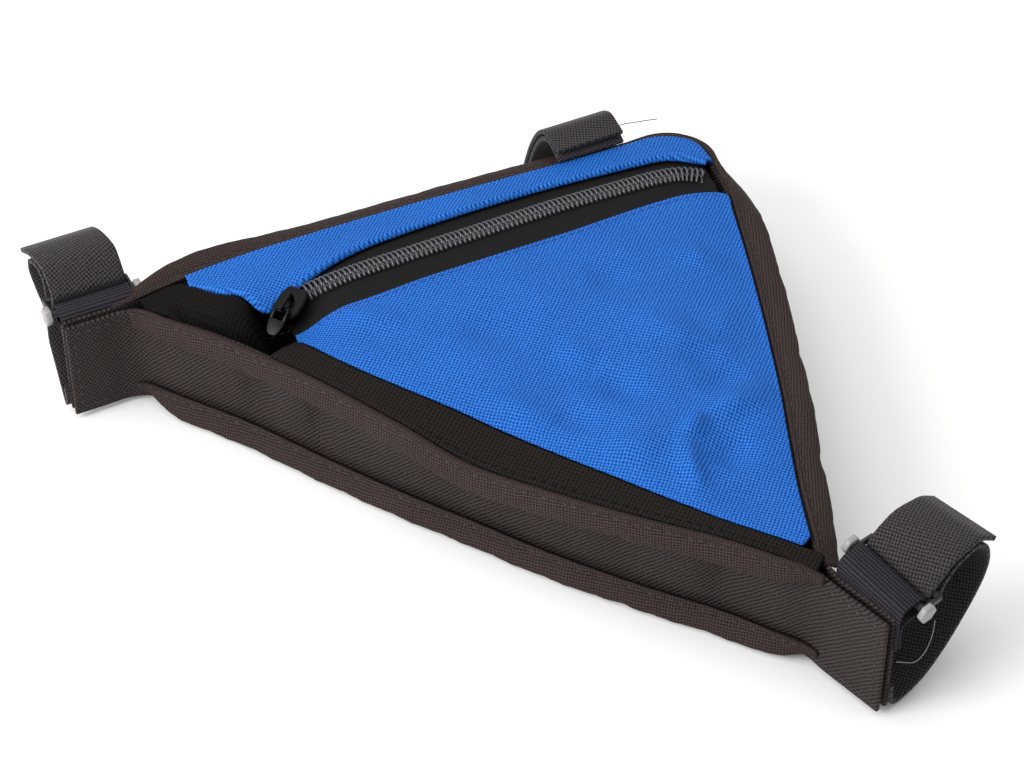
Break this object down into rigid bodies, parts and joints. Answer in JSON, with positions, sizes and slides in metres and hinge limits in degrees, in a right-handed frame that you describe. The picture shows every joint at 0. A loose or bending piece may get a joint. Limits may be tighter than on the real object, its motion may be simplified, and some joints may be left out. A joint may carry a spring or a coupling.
{
  "type": "bicycle frame bag",
  "caption": "Triangular fabric bag that hangs inside a bicycle frame, with a curved zipper in its front panel and hook-and-loop straps on sewn tabs.",
  "frame": {"origin": "on the outer face of the back panel, in plan at the mean of the bag's three corner points", "axes": "+X along the top-tube side towards the seat tube, +Y out of that side towards the top tube, +Z from the back panel to the front panel"},
  "size_m": [0.2384, 0.2675, 0.0511],
  "materials": {
    "blue_cloth": "matte coated woven polyester, royal blue",
    "black_cloth": "matte coarse woven polyester, black",
    "gusset_cloth": "matte twill-faced polyester, brownish black",
    "binding_tape": "matte woven binding, brownish black",
    "zipper_tape": "matte woven zipper tape, black",
    "zipper_coil": "semi-gloss moulded coil, black",
    "black_metal": "black painted zinc, satin",
    "hook_loop_band": "matte hook-and-loop band, black",
    "webbing": "matte ribbed webbing, black",
    "grey_plastic": "satin moulded plastic, light grey"
  },
  "bodies": {
    "bag": {"back_panel": "black_cloth", "gusset_long_side": "gusset_cloth", "gusset_frame_sides": "gusset_cloth", "binding_front_long": "binding_tape", "binding_front_frame": "binding_tape", "binding_back_long": "binding_tape", "binding_back_frame": "binding_tape", "panel_main_blue": "blue_cloth", "strip_upper_blue": "blue_cloth", "strip_lower_black": "black_cloth", "corner_piece_black": "gusset_cloth", "zipper_tape_upper": "zipper_tape", "zipper_tape_lower": "zipper_tape", "zipper_coil": "zipper_coil", "slider_body": "black_metal", "strap_left": "hook_loop_band", "strap_right": "hook_loop_band", "strap_top": "hook_loop_band", "ring_left": "grey_plastic", "ring_right": "grey_plastic", "ring_top": "grey_plastic", "keeper_left": "webbing", "keeper_right": "webbing", "keeper_top": "webbing"},
    "pull": {"zipper_pull": "black_metal"}
  },
  "joints": [
    {"name": "pull_hinge", "type": "hinge", "parent": "bag", "child": "pull", "pos_m": [-0.07455, 0.04011, 0.04358], "axis": [-0.5684, 0.8227, 0], "range_deg": [0, 130]}
  ]
}
